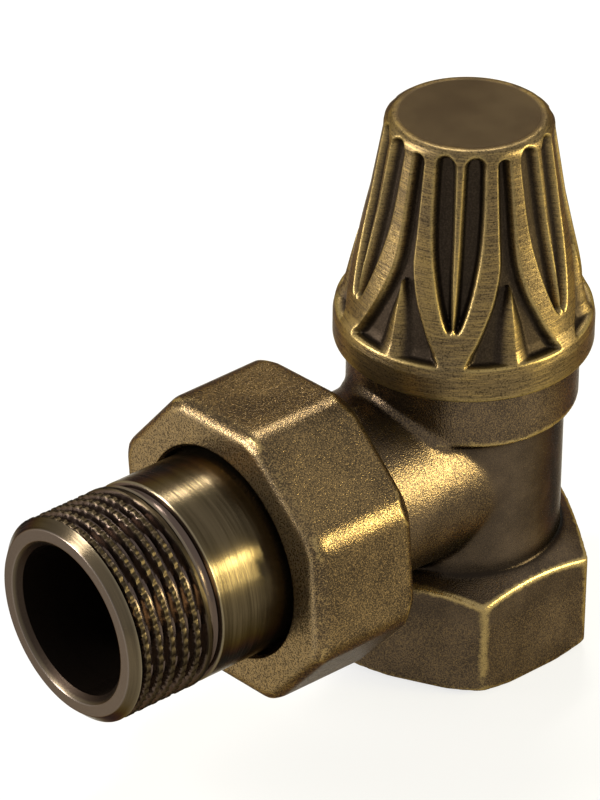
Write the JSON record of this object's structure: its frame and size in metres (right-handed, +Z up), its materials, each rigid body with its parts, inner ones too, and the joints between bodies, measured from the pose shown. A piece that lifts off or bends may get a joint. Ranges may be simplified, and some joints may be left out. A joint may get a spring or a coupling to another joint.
{
  "type": "angle radiator valve",
  "caption": "Right-angle radiator valve in bronzed brass with a leaf-fluted turning knob, a hexagon female inlet and an octagon union nut with a male-threaded tailpiece.",
  "frame": {"origin": "centre of the inlet's mouth, on the lower face of the hexagon", "axes": "+Z up along the inlet and the spindle, -Y along the outlet, X across it"},
  "size_m": [0.037, 0.0772, 0.0733],
  "materials": {
    "cast_bronze": "dark bronzed sand-cast grain with brass showing through",
    "worn_bronze": "bronzed casting, brushed bright on its ridges",
    "turned_bronze": "dark bronzed, finely brushed round",
    "bright_brass": "plain turned brass",
    "spring_steel": "bright",
    "black_rubber": "matt",
    "packing": "matt white",
    "hub_plastic": "matt"
  },
  "bodies": {
    "casing": {"valve_body": "cast_bronze", "bonnet": "bright_brass", "bonnet_o_ring": "black_rubber", "spindle_o_ring_lower": "black_rubber", "spindle_o_ring_upper": "black_rubber", "gland_packing": "packing", "gland_washer": "bright_brass", "gland_nut": "bright_brass"},
    "disc": {"disc_holder": "bright_brass", "disc_clip": "spring_steel", "disc_washer": "black_rubber", "washer_plate": "bright_brass", "disc_screw": "bright_brass"},
    "stem": {"spindle": "bright_brass", "knob": "worn_bronze", "knob_insert": "hub_plastic", "knob_clip": "spring_steel"},
    "tail": {"tailpiece": "turned_bronze", "tail_o_ring": "black_rubber"},
    "nut": {"union_nut": "cast_bronze"}
  },
  "joints": [
    {"name": "disc_lift", "type": "slide", "parent": "casing", "child": "disc", "axis": [0, 0, 1], "range_m": [0, 0.0045]},
    {"name": "knob_turn", "type": "hinge", "parent": "disc", "child": "stem", "pos_m": [0, 0, 0.05], "axis": [0, 0, 1], "range_deg": [0, 1080]},
    {"name": "tail_slide", "type": "slide", "parent": "casing", "child": "tail", "axis": [0, -1, 0], "range_m": [0, 0.009]},
    {"name": "nut_turn", "type": "hinge", "parent": "tail", "child": "nut", "pos_m": [0, -0.03, 0.0267], "axis": [0, -1, 0], "range_deg": [0, 1404]}
  ],
  "couplings": [
    {"joint": "knob_turn", "follows": "disc_lift", "rad_per_m": 4188.8},
    {"joint": "nut_turn", "follows": "tail_slide", "rad_per_m": 2721.2}
  ]
}
